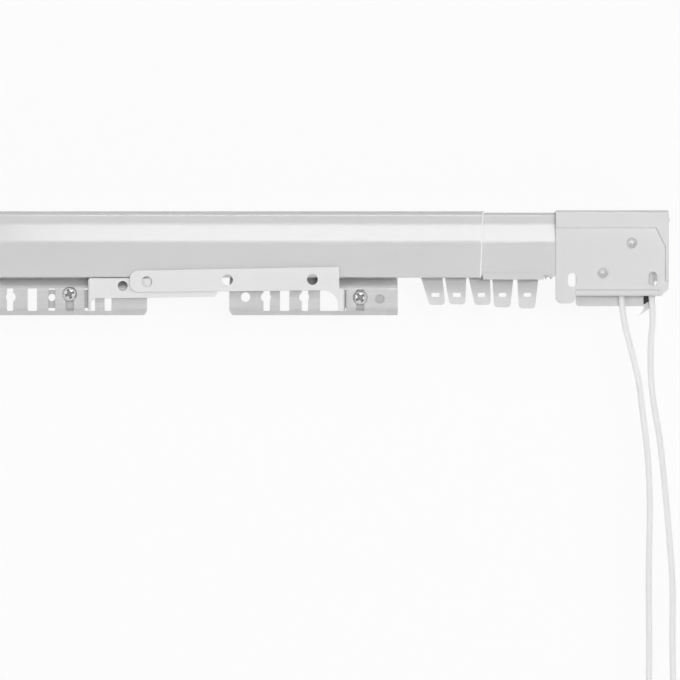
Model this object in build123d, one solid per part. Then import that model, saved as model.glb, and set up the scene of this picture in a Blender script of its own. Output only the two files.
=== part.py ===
from build123d import *
import os
from math import cos, hypot, pi, radians, sin, tan

# Extendable two-way-draw traverse curtain rod, in millimetres.
# Every piece is drawn in rod coordinates: x is 0 at the rod's right end and falls inward,
# y is the depth behind the rod's front face, z is the height above the rod's bottom edge.
# place() moves a piece to the final frame: origin midway between the right wall bracket's
# two screws, on the wall; +X along the rod, +Y into the wall, +Z up.

# Rod sections, bent sheet steel
ROD_LENGTH = 467.0
INNER_SHORT = 71.5
ROD_H = 32.5
ROD_DEPTH = 14.0
ROD_SHEET = 0.5
NEST_GAP = 0.2
FACE_H = 16.8
CROWN_H = 5.9
SET_BACK = 2.2
LOWER_LIP_TOP = 6.0
UPPER_LIP_H = 5.5
EDGE_R = 1.6
BROW_R = 2.6
CREASE_R = 13.0
MOUTH = 91.5
MOUTH_RAKE = 1.5

# Wall brackets and projection
PROJECTION = 89.0
PROJECTION_TRAVEL = 25.0
BRACKET_SHEET = 1.6
BRACKET_W = 20.0
BRACKET_H = 37.0
BRACKET_MIDDLE = 12.5
BRACKET_ARM_H = 25.4
BRACKET_LAP = 13.0
BRACKET_BEND_R = 2.4
BRACKET_NECK = 6.0
SCREW_SPACING = 24.0
WALL_SCREW_R = 2.4
RETURN_GAP = 0.25
RETURN_LENGTH = 39.0
RETURN_FLANGE = 3.0

# End housings, stamped sheet steel
HOUSING_W = 55.1
HOUSING_SHEET = 0.8
HOUSING_FIT = 0.15
HOUSING_DROP = 9.0
HOUSING_SIDE_DEPTH = 18.0
ROD_TUCK = 5.1
LIP_H = 8.4
LIP_PROUD = 1.65
LIP_R = 1.6
LEDGE_R = 0.6
LOBE_EDGE_R = 0.4
BORDER_W = 1.6
CORNER_REACH = 6.1
CORNER_LOW = 14.9
CHAMFER = 3.6
LOBE_W = 9.7
LOBE_DROP = 12.7
LOBE_R = 3.2
ROLL_R = 1.7
SIGHT_SLOT_W = 4.1
SIGHT_SLOT_H = 6.8
SIGHT_SLOTS = ((HOUSING_W - 8.0, -1.2), (7.6, -0.7))
DETENT_R = 1.6
DETENT_Z = ROD_H - 4.3

# Cord and pulleys
CORD_D = 2.8
CORD_DEPTH = 7.3
CORD_GAP = 0.1
PITCH_R = 9.0
LOWER_AXLE = (-32.0, 2.2)
UPPER_AXLE_BELOW_TOP = 15.7
UPPER_AXLE = (-17.8, ROD_H - UPPER_AXLE_BELOW_TOP)
WHEEL_W = 4.6
FLANGE_OVER = 0.6
AXLE_R = 2.0
RUNNING = 0.05
SHOULDER_R = 3.0
SHOULDER_GAP = 0.15
HEAD_R = 2.4
HEAD_T = 0.9
HEAD_SHARE = 1.6
DOME_T = 1.1
DIMPLE_R = 3.2
DIMPLE_DEPTH = 0.4
BOSS_T = 0.6
IDLER_IN = 24.0
OUTLET_Z = -10.0
LOWER_LEAVE_ANGLE = 3.0
UPPER_LEAVE_ANGLE = 2.5
FIRST_RUN = 9.0
CORNER_SHARE = 0.45

# Pulley frames behind the housings
FRAME_SHEET = 1.0
FRAME_DEPTH = 10.0
FRAME_SHORT = 10.5
FRAME_RIGHT = 11.0
FRAME_DROP = 13.9
FRAME_TOP = ROD_H - 4.5
FRAME_SHOULDER = 8.0
FRAME_FLANGE = 8.0
TONGUE_REACH = 15.0
TONGUE_LOW = 14.0
TONGUE_HIGH = 23.0
GUIDE_LUG_W = 5.3
GUIDE_LUG_H = 4.0
GUIDE_OUTER = ((5.3, -9.0), (4.9, -11.2), (3.3, -13.9), (0.6, -16.4), (-2.4, -18.2))
GUIDE_INNER = ((-2.4, -17.8), (-0.6, -15.6), (0.2, -13.2), (1.5, -11.7), (3.2, -11.0), (3.9, -9.0))

# Slides that carry the curtain
HANG_GAP = 0.3
SIDE_GAP = 0.4
HEAD_DEPTH = 2.6
TAB_T = 1.2
BRIDGE_T = 1.3
SLIDE_W = 10.4
TAB_BOTTOM_W = 7.8
TAB_CORNER_R = 1.8
SLIDE_SPACES = (11.7, 1.3, 1.3, 1.1, 1.9, 7.6)
TAB_LEANS = (2.8, 0.9, 1.7, -0.2, -0.4)
TAB_DROPS = (13.2, 12.9, 13.2, 14.4, 14.9)
EYE_W = 3.9
EYE_H = 2.0
EYE_Z = -8.3

# Master carriers
PLATE_SHEET = 1.2
MASTER_GAP = 42.2
PLATE_W = 80.4
RIGHT_PLATE_OVER = 2.0
PLATE_TOP = 5.8
PLATE_FRONT = 4.0
JOG_TOP = -0.8
FACE_TOP = -4.8
HEM_Z = -15.0
PLATE_BOTTOM = -18.0
HEM_BACK = 2.0
BEND_R = 1.5
WINDOW_TOP = -5.3
WINDOW_BOTTOM = -16.2
RUNNER_END = 6.0
RIVET_R = 1.5
RIVET_INSET = 10.0
RIVET_Z = 2.6
CLAMP_W = 8.0
CLAMP_WALL = 1.0
CLAMP_FROM_EDGE = 40.0

# Holes in the carrier plates and arms, placed by their distance out from a plate's inner edge:
# pin holes with height, windows and keyholes with width
PIN_HOLE_R = 2.3
RIGHT_PIN_HOLES = ((6.0, -9.5), (71.5, -10.5))
LEFT_PIN_HOLES = ((74.4, -9.5),)
WINDOW_CORNER_R = 0.5
KEYHOLE_R = 2.4
KEYHOLE_Z = -9.5
KEYHOLE_SHIFT = 0.4
RIGHT_WINDOWS = ((25.1, 4.6), (48.8, 12.8))
RIGHT_KEYHOLES = ((15.9, 3.1), (34.6, 3.1))
LEFT_WINDOWS = ((56.1, 4.6), (46.6, 3.4), (28.0, 5.1), (19.1, 3.4))
LEFT_KEYHOLES = ((66.6, 3.1),)
SCREW_WINDOW_W = 3.9

# Overlapping arms and their screws, placed in the same way
ARM_SHEET = 1.2
OVERLAP_FRONT = -2.2
UNDERLAP_FRONT = 0.4
ARM_BEND_R = 1.2
OVERLAP_TIP = -50.3
OVERLAP_ROOT = 53.8
OVERLAP_HEAD = 51.8
UNDERLAP_TIP = -34.4
UNDERLAP_ROOT = 28.2
OVERLAP_LEG_W = 3.0
LEG_BOTTOM = -16.0
LEG_SLOT_GAP = 0.3
FOOT_LENGTH = 22.0
FOOT_TOP = -5.9
FOOT_BOTTOM = -14.8
FOOT_GAP = 0.15
FOOT_TAB_W = 8.0
FOOT_TAB_BOTTOM = -16.9
ARM_SCREW_R = 1.7
ARM_SCREW_HEAD_R = 3.65
ARM_SCREW_HEAD_T = 2.2
ARM_SCREW_LENGTH = 6.0
RIGHT_SCREW_TURN = 35
LEFT_SCREW_TURN = -20
RECESS_W = 0.9
RECESS_L = 4.2
RECESS_DEPTH = 1.3
RIGHT_SCREW = (62.0, -9.75)
LEFT_SCREW = (37.8, -8.0)
OVERLAP_TIP_LOW = -7.3
OVERLAP_TIP_HIGH = 3.4
OVERLAP_HEAD_TOP = 5.2
OVERLAP_LEG_TOP = -6.2
OVERLAP_TIP_R = 4.0
OVERLAP_LEG_R = 7.5
OVERLAP_HOLES = ((-42.0, -2.0), (-2.7, -1.2), (38.7, -1.0))
OVERLAP_HOLE_R = 2.6
UNDERLAP_LOW = -7.8
UNDERLAP_LEG_TOP = -10.3
UNDERLAP_CLIP = (1.4, 1.6)
UNDERLAP_LEG_W = 1.6
UNDERLAP_ROOT_R = 1.5
UNDERLAP_LEG_R = 2.4
UNDERLAP_HOLE = (11.7, -4.1)
UNDERLAP_HOLE_R = 2.4
FOOT_HOLE = (46.6, -9.7)
FOOT_HOLE_R = 1.8
WEB_MARGIN = 2.0

# Carrier gate, a strip that swings forward under the rod
GATE_FROM_MOUTH = 1.1
GATE_FROM_HOUSING = 5.8
GATE_T = 0.55
GATE_TOP = 2.4
GATE_BOTTOM = -1.0
GATE_WEB_DEPTH = 5.2
GATE_PIVOT_OUT = 2.4
GATE_PIVOT_DEPTH = 3.0
GATE_PIN_R = 0.9
GATE_PIN_HEAD_R = 1.6
GATE_TAB_W = 6.4
GATE_TAB_DEPTH = 8.0

# Tension pulley at the foot of the cord loop
TENSION_X = -3.0
TENSION_Z = -212.0
TENSION_PITCH_R = 6.0
TENSION_FLANGE_OVER = 1.2
TENSION_CORD_GAP = 0.5
TENSION_AXLE_R = 1.5
CHEEK_W = 9.0
CHEEK_T = 1.0
CHEEK_GAP = 0.4
YOKE_BRIDGE_Z = -222.0
STEM_R = 2.0
BASE_TOP = -234.0
BASE_BOTTOM = -258.0
BASE_R = 6.5
SPRING_R = 4.6
SPRING_WALL = 1.0
COLLAR_T = 1.6
TENSION_PLATE_W = 16.0
TENSION_PLATE_T = 1.6
TENSION_PLATE_OVER = 8.0
TENSION_SCREW_INSET = 4.0
TENSION_SCREW_R = 2.0
TENSION_CORNER_R = 3.0
CUP_WALL = 1.2

# Values that follow from the sizes above
INSET = ROD_SHEET + NEST_GAP
LIP_INSIDE = ROD_DEPTH - INSET - ROD_SHEET
FLOOR_TOP = INSET + ROD_SHEET
ARM_OUTER = HOUSING_SHEET + RETURN_GAP
END_X = ARM_OUTER + BRACKET_W / 2
MIRROR_X = -ROD_LENGTH / 2
SECTION_END = HOUSING_W - ROD_TUCK
INNER_REACH = ROD_LENGTH - INNER_SHORT
SLOPE_TOP = ROD_H - CROWN_H
UPPER_LIP_BOTTOM = ROD_H - UPPER_LIP_H
LIP_BOTTOM = ROD_H - LIP_H
FRAME_LEFT = HOUSING_W - FRAME_SHORT
PLATE_INNER_EDGE = (ROD_LENGTH - MASTER_GAP) / 2
PLATE_OUTER_EDGE = PLATE_INNER_EDGE - PLATE_W
LOWER_LINE = LOWER_AXLE[1] + PITCH_R
UPPER_LINE = UPPER_AXLE[1] + PITCH_R
IDLER_R = (UPPER_LINE - LOWER_LINE) / 2
IDLER_AXLE = (-IDLER_IN, (UPPER_LINE + LOWER_LINE) / 2)
TAB_FRONT = ROD_DEPTH + SIDE_GAP
HEAD_BACK = LIP_INSIDE - SIDE_GAP
BRIDGE_BOTTOM = LOWER_LIP_TOP + HANG_GAP
BRIDGE_TOP = BRIDGE_BOTTOM + BRIDGE_T
PLATE_BACK = PLATE_FRONT + PLATE_SHEET


# Moving and writing pieces
def place(shape):
    return Pos(END_X, -PROJECTION, -BRACKET_MIDDLE) * shape


def to_left(shape):
    return mirror(shape, about=Plane.YZ.offset(MIRROR_X))


def save(name, *solids):
    moved = [place(solid) for solid in solids]
    if len(moved) == 1:
        export_step(moved[0], f"parts/{name}.step")
    else:
        export_step(Compound(children=[solid.solid() for solid in moved]), f"parts/{name}.step")


# Drawing helpers
def along_x(face, start, end):
    return Pos(start, 0, 0) * extrude(Plane.YZ * face, amount=end - start, dir=(1, 0, 0))


def along_y(face, front, back):
    return Pos(0, front, 0) * extrude(Plane.XZ * face, amount=back - front, dir=(0, 1, 0))


def along_z(face, bottom, top):
    return Pos(0, 0, bottom) * extrude(face, amount=top - bottom, dir=(0, 0, 1))


def box(x, y, z):
    """Box between the pairs of limits x, y and z."""
    centre = ((x[0] + x[1]) / 2, (y[0] + y[1]) / 2, (z[0] + z[1]) / 2)
    return Pos(*centre) * Box(abs(x[1] - x[0]), abs(y[1] - y[0]), abs(z[1] - z[0]))


def outline(*points):
    return Polygon(*points, align=None)


def rounded(face, corner, radius):
    """The face with the corner nearest to a point rounded."""
    near = sorted(face.vertices(), key=lambda v: hypot(v.X - corner[0], v.Y - corner[1]))
    return fillet(near[0], radius)


def disc(x, z, radius):
    return Pos(x, z) * Circle(radius)


def bent(points, sheet, radius):
    """Section of a sheet bent along the points of its centre line."""
    return trace(FilletPolyline(*points, radius=radius), line_width=sheet)


# Rod sections
def rod_outline():
    face = outline((ROD_DEPTH, 0), (0, 0), (0, FACE_H), (SET_BACK, SLOPE_TOP),
                   (SET_BACK, ROD_H), (ROD_DEPTH, ROD_H))
    for corner in ((ROD_DEPTH, 0), (0, 0), (ROD_DEPTH, ROD_H)):
        face = rounded(face, corner, EDGE_R)
    for corner in ((0, FACE_H), (SET_BACK, SLOPE_TOP)):
        face = rounded(face, corner, CREASE_R)
    return rounded(face, (SET_BACK, ROD_H), BROW_R)


def rod_section(inset, start, end):
    """A C-shaped section, open at the back between its two lips."""
    whole = rod_outline()
    skin = offset(whole, -inset) if inset else whole
    hollow = offset(whole, -inset - ROD_SHEET)
    mid_y = ROD_DEPTH - inset
    gap = outline((mid_y - EDGE_R, LOWER_LIP_TOP), (mid_y + 1, LOWER_LIP_TOP),
                  (mid_y + 1, UPPER_LIP_BOTTOM), (mid_y - EDGE_R, UPPER_LIP_BOTTOM))
    return along_x(skin - hollow - gap, start, end)


def outer_section():
    body = rod_section(0, -ROD_LENGTH + SECTION_END, -MOUTH + MOUTH_RAKE)
    rake = outline((-MOUTH, 0), (-MOUTH + MOUTH_RAKE, ROD_H), (-MOUTH + 2 * MOUTH_RAKE, ROD_H),
                   (-MOUTH + 2 * MOUTH_RAKE, -1), (-MOUTH, -1))
    return body - along_y(rake, -1, ROD_DEPTH + 1)


# End housings
def stamped_block(inset, sheet):
    """The housing's outer form, or with a sheet thickness the hollow inside it."""
    front = inset - HOUSING_FIT - HOUSING_SHEET
    top = ROD_H - inset + HOUSING_FIT + HOUSING_SHEET
    over = 2 * sheet
    low = -HOUSING_DROP - over
    face = outline((-HOUSING_W - over, low), (-sheet - CHAMFER, low), (-sheet, low + CHAMFER + over),
                   (-sheet, top - sheet), (-HOUSING_W - over, top - sheet))
    block = along_y(face, front + sheet, ROD_DEPTH + over)
    slant_foot = LIP_BOTTOM - CORNER_REACH * (LIP_BOTTOM - CORNER_LOW) / (CORNER_REACH - BORDER_W)
    lip = outline((-HOUSING_W, LIP_BOTTOM), (-CORNER_REACH, LIP_BOTTOM), (0, slant_foot), (0, top),
                  (-HOUSING_W, top))
    if sheet:
        lip = offset(lip, -sheet, kind=Kind.INTERSECTION)
        block += along_y(lip, front + sheet - LIP_PROUD, front + LIP_PROUD)
        inner_top = block.edges().filter_by(Axis.X).group_by(Axis.Z)[-1].sort_by(Axis.Y)[0]
        return fillet(inner_top, LIP_R - sheet)
    lip += outline((-BORDER_W, -HOUSING_DROP + 2 * CHAMFER), (0, -HOUSING_DROP + 2 * CHAMFER),
                   (0, CORNER_LOW), (-BORDER_W, CORNER_LOW))
    block += along_y(lip, front - LIP_PROUD, front + LIP_PROUD)
    proud = block.edges().group_by(Axis.Y)[0]
    upper = [edge for edge in proud if edge.center().Z > top - 0.01]
    block = fillet(upper, LIP_R)
    proud = block.edges().group_by(Axis.Y)[0]
    block = fillet(proud, LEDGE_R)
    return block


def housing(inset, axles):
    """Stamped end housing with its return, seen with its rod section at inset."""
    front = inset - HOUSING_FIT - HOUSING_SHEET
    shell = stamped_block(inset, 0)
    lobe = outline((-HOUSING_W, -LOBE_DROP), (-HOUSING_W + LOBE_W, -LOBE_DROP),
                   (-HOUSING_W + LOBE_W, 0), (-HOUSING_W, 0))
    lobe = rounded(lobe, (-HOUSING_W, -LOBE_DROP), LOBE_R)
    lobe = rounded(lobe, (-HOUSING_W + LOBE_W, -LOBE_DROP), LOBE_R)
    lobe = along_y(lobe, front, front + HOUSING_SHEET)
    shell += fillet(lobe.edges().group_by(Axis.Y)[0], LOBE_EDGE_R)
    roll = Pos(0, front + HOUSING_SHEET, -HOUSING_DROP + ROLL_R) * Rot(0, 90, 0)
    roll_length = HOUSING_W - LOBE_W - CHAMFER - 1
    shell += Pos(-HOUSING_W + LOBE_W + roll_length / 2, 0, 0) * roll * Cylinder(ROLL_R, roll_length)
    shell -= stamped_block(inset, HOUSING_SHEET)
    for x, z in axles:
        boss_back = front + HOUSING_SHEET + BOSS_T
        shell += along_y(disc(x, z, DIMPLE_R + HOUSING_SHEET), front, boss_back)
        dimple = Pos(x, front + DIMPLE_DEPTH / 2, z) * Rot(90, 0, 0)
        shell -= dimple * Cone(HEAD_R, DIMPLE_R, DIMPLE_DEPTH)
        shell -= along_y(disc(x, z, AXLE_R + RUNNING), front - 1, boss_back + 1)
    for x, z in SIGHT_SLOTS:
        slot = Pos(-x, z) * Rot(0, 0, 90) * SlotOverall(SIGHT_SLOT_H, SIGHT_SLOT_W)
        shell -= along_y(slot, front - 1, front + 2)
    return shell + side_return() + detent(front)


def side_return():
    """Side wall that runs back to the wall bracket and wraps its arm as a channel."""
    middle = BRACKET_MIDDLE
    half = BRACKET_ARM_H / 2 + RETURN_GAP + HOUSING_SHEET
    back = HOUSING_SIDE_DEPTH + RETURN_LENGTH
    taper = outline((ROD_DEPTH - 1, -HOUSING_DROP + CHAMFER), (HOUSING_SIDE_DEPTH, middle - half),
                    (back, middle - half), (back, middle + half),
                    (HOUSING_SIDE_DEPTH, middle + half), (ROD_DEPTH - 1, ROD_H - EDGE_R))
    wall = along_x(taper, -HOUSING_SHEET, 0)
    flange = ARM_OUTER + BRACKET_SHEET + RETURN_GAP + HOUSING_SHEET
    channel = box((-flange, 0), (HOUSING_SIDE_DEPTH, back), (middle - half, middle + half))
    inside = half - HOUSING_SHEET
    channel -= box((-flange + HOUSING_SHEET, -HOUSING_SHEET), (0, PROJECTION),
                   (middle - inside, middle + inside))
    window = inside - RETURN_FLANGE
    channel -= box((-flange - 1, -HOUSING_SHEET), (0, PROJECTION), (middle - window, middle + window))
    return wall + channel


def detent(front):
    """Small pressed pip on the side wall near its top."""
    depth = front + 2 * DETENT_R
    pip = Pos(-DETENT_R / 2, depth, DETENT_Z) * Sphere(DETENT_R)
    return pip & box((-HOUSING_SHEET, DETENT_R), (0, PROJECTION), (0, ROD_H))


# Pulley frames
def pulley_frame(axles, drop, guide):
    """Back plate of a housing with its tongue into the rod and its flange at the side."""
    back = FRAME_DEPTH + FRAME_SHEET
    side = ARM_OUTER
    plate = outline((-FRAME_LEFT, -drop), (-FRAME_RIGHT, -drop), (-FRAME_RIGHT, FRAME_SHOULDER),
                    (-side, FRAME_SHOULDER), (-side, FRAME_TOP), (-FRAME_LEFT, FRAME_TOP))
    for corner in ((-FRAME_LEFT, -drop), (-FRAME_LEFT, FRAME_TOP)):
        plate = rounded(plate, corner, EDGE_R)
    frame = along_y(plate, FRAME_DEPTH, back)
    tongue = outline((-FRAME_LEFT - TONGUE_REACH, TONGUE_LOW + 2), (-FRAME_LEFT, TONGUE_LOW),
                     (-FRAME_LEFT, TONGUE_HIGH), (-FRAME_LEFT - TONGUE_REACH, TONGUE_HIGH - 2))
    frame += along_y(tongue, FRAME_DEPTH, back)
    frame += box((-side - FRAME_SHEET, -side), (FRAME_DEPTH, FRAME_DEPTH + FRAME_FLANGE),
                 (FRAME_SHOULDER, FRAME_TOP))
    for x, z in axles:
        frame -= along_y(disc(x, z, AXLE_R + RUNNING), FRAME_DEPTH - 1, back + 1)
    if guide:
        frame += along_y(Pos(-FRAME_RIGHT, 0) * cord_guide(), FRAME_DEPTH, back)
    return frame


def cord_guide():
    """Lug below the housing's edge that ends in a hook behind the cord."""
    hook = [Spline(*GUIDE_OUTER), Line(GUIDE_OUTER[-1], GUIDE_INNER[0]), Spline(*GUIDE_INNER),
            Line(GUIDE_INNER[-1], GUIDE_OUTER[0])]
    top = GUIDE_LUG_H - HOUSING_DROP
    lug = outline((0, -HOUSING_DROP), (GUIDE_LUG_W, -HOUSING_DROP), (GUIDE_LUG_W, top), (0, top))
    return lug + make_face(hook)


def axle(x, z, front):
    """Shouldered rivet that a wheel turns on, from the housing's dimple to the frame."""
    panel_back = front + HOUSING_SHEET + BOSS_T
    wheel_front = CORD_DEPTH - WHEEL_W / 2
    frame_back = FRAME_DEPTH + FRAME_SHEET
    seat = front + DIMPLE_DEPTH
    dome_r = (HEAD_R**2 + DOME_T**2) / (2 * DOME_T)
    pin = Pos(x, seat - DOME_T + dome_r, z) * Sphere(dome_r)
    pin &= along_y(disc(x, z, HEAD_R), seat - DOME_T, seat)
    pin += along_y(disc(x, z, AXLE_R), seat - DOME_T / 2, frame_back)
    pin += along_y(disc(x, z, SHOULDER_R), panel_back, wheel_front - SHOULDER_GAP)
    return pin + along_y(disc(x, z, SHOULDER_R), frame_back, frame_back + HEAD_T)


def wheel(x, z, pitch, over, bore, gap=CORD_GAP):
    """Grooved cord pulley whose groove holds the cord at the pitch radius."""
    half = outline((bore + RUNNING, -WHEEL_W / 2), (pitch + over, -WHEEL_W / 2),
                   (pitch + over, WHEEL_W / 2), (bore + RUNNING, WHEEL_W / 2))
    half -= Pos(pitch, 0) * Circle(CORD_D / 2 + gap)
    ring = revolve(Plane.XZ * half, axis=Axis.Z)
    return Pos(x, CORD_DEPTH, z) * Rot(90, 0, 0) * ring


# Slides
def hook_section(leg_front, leg_bottom, back):
    """Section that hooks over the rod's lower back lip."""
    return outline((leg_front, FLOOR_TOP + SIDE_GAP), (HEAD_BACK, FLOOR_TOP + SIDE_GAP),
                   (HEAD_BACK, BRIDGE_BOTTOM), (back - TAB_T, BRIDGE_BOTTOM),
                   (back - TAB_T, leg_bottom), (back, leg_bottom), (back, BRIDGE_TOP),
                   (leg_front, BRIDGE_TOP))


def slide_centres():
    """Distances from the rod's end; the slides share what room plate and housing leave."""
    room = PLATE_OUTER_EDGE - HOUSING_W - len(TAB_LEANS) * SLIDE_W
    centre = PLATE_OUTER_EDGE + SLIDE_W / 2
    for space in SLIDE_SPACES[:-1]:
        centre -= SLIDE_W + room * space / sum(SLIDE_SPACES)
        yield centre


def slide(centre, lean, drop, square_eye):
    back = TAB_FRONT + TAB_T
    hook = hook_section(HEAD_BACK - HEAD_DEPTH, 0.0, back)
    body = along_x(hook, -centre - SLIDE_W / 2, -centre + SLIDE_W / 2)
    foot = -centre + lean
    tab = outline((-centre - SLIDE_W / 2, BRIDGE_BOTTOM), (-centre - SLIDE_W / 2, 0),
                  (foot - TAB_BOTTOM_W / 2, -drop), (foot + TAB_BOTTOM_W / 2, -drop),
                  (-centre + SLIDE_W / 2, 0), (-centre + SLIDE_W / 2, BRIDGE_BOTTOM))
    for side in (-1, 1):
        tab = rounded(tab, (foot + side * TAB_BOTTOM_W / 2, -drop), TAB_CORNER_R)
    eye = Rectangle(EYE_W, EYE_H) if square_eye else SlotOverall(EYE_W, EYE_H)
    tab -= Pos(-centre + lean * -EYE_Z / drop, EYE_Z) * eye
    return body + along_y(tab, TAB_FRONT, back)


# Master carriers
def carrier_blank(over):
    """Bent plate of a master carrier before its holes, reaching over its inner edge."""
    mid = PLATE_SHEET / 2
    line = ((TAB_FRONT + mid, PLATE_TOP), (TAB_FRONT + mid, JOG_TOP), (PLATE_FRONT + mid, FACE_TOP),
            (PLATE_FRONT + mid, HEM_Z), (PLATE_FRONT + mid + HEM_BACK, PLATE_BOTTOM))
    section = bent(line, PLATE_SHEET, BEND_R)
    inner = -PLATE_INNER_EDGE - over
    blank = along_x(section, inner, -PLATE_OUTER_EDGE)
    corner = outline((inner, PLATE_BOTTOM - 1), (-PLATE_OUTER_EDGE, PLATE_BOTTOM - 1),
                     (-PLATE_OUTER_EDGE, PLATE_TOP + 1), (inner, PLATE_TOP + 1))
    corner = rounded(corner, (inner, PLATE_BOTTOM - 1), 2 * BEND_R + 1)
    blank &= along_y(corner, 0, 2 * ROD_DEPTH)
    for x in rivet_places():
        blank -= along_y(disc(x, RIVET_Z, RIVET_R + RUNNING), ROD_DEPTH, 2 * ROD_DEPTH)
    return blank


def rivet_places():
    return (-PLATE_INNER_EDGE + RIVET_INSET, -PLATE_OUTER_EDGE - RIVET_INSET)


def on_plate(distance, z):
    """Place x, z at a distance out from the right plate's inner edge."""
    return -PLATE_INNER_EDGE + distance, z


def punch(face):
    """Tool for a hole through a carrier plate's face and hem."""
    return along_y(face, PLATE_FRONT - 1, PLATE_BACK + HEM_BACK + 1)


def window(distance, width, top=WINDOW_TOP):
    hole = RectangleRounded(width, top - WINDOW_BOTTOM, WINDOW_CORNER_R)
    return punch(Pos(*on_plate(distance, (top + WINDOW_BOTTOM) / 2)) * hole)


def carrier_plate(windows, keyholes, pin_holes, screw, over=0):
    """Plate with its windows, keyholes, pin holes and the slot for the arm's screw."""
    plate = carrier_blank(over) - window(screw, SCREW_WINDOW_W, top=FOOT_TOP)
    for distance, width in windows:
        plate -= window(distance, width)
    for distance, width in keyholes:
        plate -= window(distance + KEYHOLE_SHIFT, width)
        plate -= punch(disc(*on_plate(distance, KEYHOLE_Z), KEYHOLE_R))
    for hole in pin_holes:
        plate -= punch(disc(*on_plate(*hole), PIN_HOLE_R))
    return plate


def runner():
    """Moulded runner that hooks over the lip and is riveted behind the plate."""
    back = TAB_FRONT + PLATE_SHEET + TAB_T + RUNNING
    hook = hook_section(HEAD_BACK - HEAD_DEPTH, -0.4, back)
    body = along_x(hook, -PLATE_INNER_EDGE + RUNNER_END, -PLATE_OUTER_EDGE - RUNNER_END)
    for x in rivet_places():
        body -= along_y(disc(x, RIVET_Z, RIVET_R + RUNNING), ROD_DEPTH, 2 * ROD_DEPTH)
    return body


def carrier_rivets():
    back = TAB_FRONT + PLATE_SHEET + TAB_T + RUNNING
    rivets = []
    for x in rivet_places():
        shank = along_y(disc(x, RIVET_Z, RIVET_R), TAB_FRONT, back)
        rivets.append(shank + along_y(disc(x, RIVET_Z, HEAD_SHARE * RIVET_R), back, back + HEAD_T))
    return rivets


def cord_clamp(line_z):
    """Lug that stands on the runner inside the rod and grips one cord line."""
    x = -PLATE_OUTER_EDGE - CLAMP_FROM_EDGE
    reach = CORD_D / 2 + CORD_GAP + CLAMP_WALL
    post = (HEAD_BACK - HEAD_DEPTH, HEAD_BACK - HANG_GAP)
    sides = (x - CLAMP_W / 2, x + CLAMP_W / 2)
    top = line_z + reach
    lug = box(sides, post, (BRIDGE_TOP, top))
    lug += box(sides, (CORD_DEPTH - reach, post[1]), (line_z - reach, top))
    eye = Pos(CORD_DEPTH, line_z) * Circle(CORD_D / 2 + CORD_GAP)
    return lug - along_x(eye, sides[0] - 1, sides[1] + 1)


# Arms, both drawn on the right; the underlap arm is mirrored
def arm(shape, screw, holes, hole_r, front, tip, root):
    """Strip bent back through the plate's slot to a foot behind it, cut to its face's shape."""
    mid = ARM_SHEET / 2
    rear = PLATE_BACK + FOOT_GAP + mid
    line = ((tip, front + mid), (root, front + mid), (root, rear), (root + FOOT_LENGTH, rear))
    band = along_z(bent(line, ARM_SHEET, ARM_BEND_R), PLATE_BOTTOM, PLATE_TOP)
    face = along_y(shape, front - 1, PLATE_FRONT - WEB_MARGIN)
    web = box((root - WEB_MARGIN, root + WEB_MARGIN), (PLATE_FRONT - WEB_MARGIN, PLATE_BACK),
              (LEG_BOTTOM, WINDOW_TOP - LEG_SLOT_GAP))
    foot = box((root - WEB_MARGIN, root + FOOT_LENGTH), (PLATE_BACK, ROD_DEPTH),
               (FOOT_BOTTOM, FOOT_TOP))
    strip = band & (face + web + foot)
    for hole in holes:
        strip -= along_y(disc(*on_plate(*hole), hole_r), front - 1, front + 2)
    strip += foot_tab(on_plate(*screw)[0], rear)
    return strip - along_y(disc(*on_plate(*screw), ARM_SCREW_R + RUNNING), PLATE_BACK, ROD_DEPTH)


def foot_tab(middle, rear):
    """Tab that follows the plate's hem down behind the screw's slot."""
    drop = HEM_Z - PLATE_BOTTOM
    corner = HEM_Z + (rear - PLATE_FRONT - PLATE_SHEET / 2) * (hypot(HEM_BACK, drop) - drop) / HEM_BACK
    reach = (corner - FOOT_TAB_BOTTOM) * HEM_BACK / drop
    line = ((rear, FOOT_BOTTOM + BEND_R), (rear, corner), (rear + reach, FOOT_TAB_BOTTOM))
    return along_x(bent(line, ARM_SHEET, ARM_SHEET), middle - FOOT_TAB_W / 2, middle + FOOT_TAB_W / 2)


def overlap_arm():
    tip, low = on_plate(OVERLAP_TIP, OVERLAP_TIP_LOW)
    root, leg_top = on_plate(OVERLAP_ROOT, OVERLAP_LEG_TOP)
    head, head_top = on_plate(OVERLAP_HEAD, OVERLAP_HEAD_TOP)
    edge = root + ARM_SHEET / 2
    leg = edge - OVERLAP_LEG_W
    shape = outline((tip, low), (leg, leg_top), (leg, LEG_BOTTOM), (edge, LEG_BOTTOM),
                    (edge, WINDOW_TOP), (head, WINDOW_TOP), (head, head_top),
                    (tip, OVERLAP_TIP_HIGH))
    for z in (low, OVERLAP_TIP_HIGH):
        shape = rounded(shape, (tip, z), OVERLAP_TIP_R)
    shape = rounded(shape, (leg, leg_top), OVERLAP_LEG_R)
    return arm(shape, RIGHT_SCREW, OVERLAP_HOLES, OVERLAP_HOLE_R, OVERLAP_FRONT, tip, root)


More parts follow.
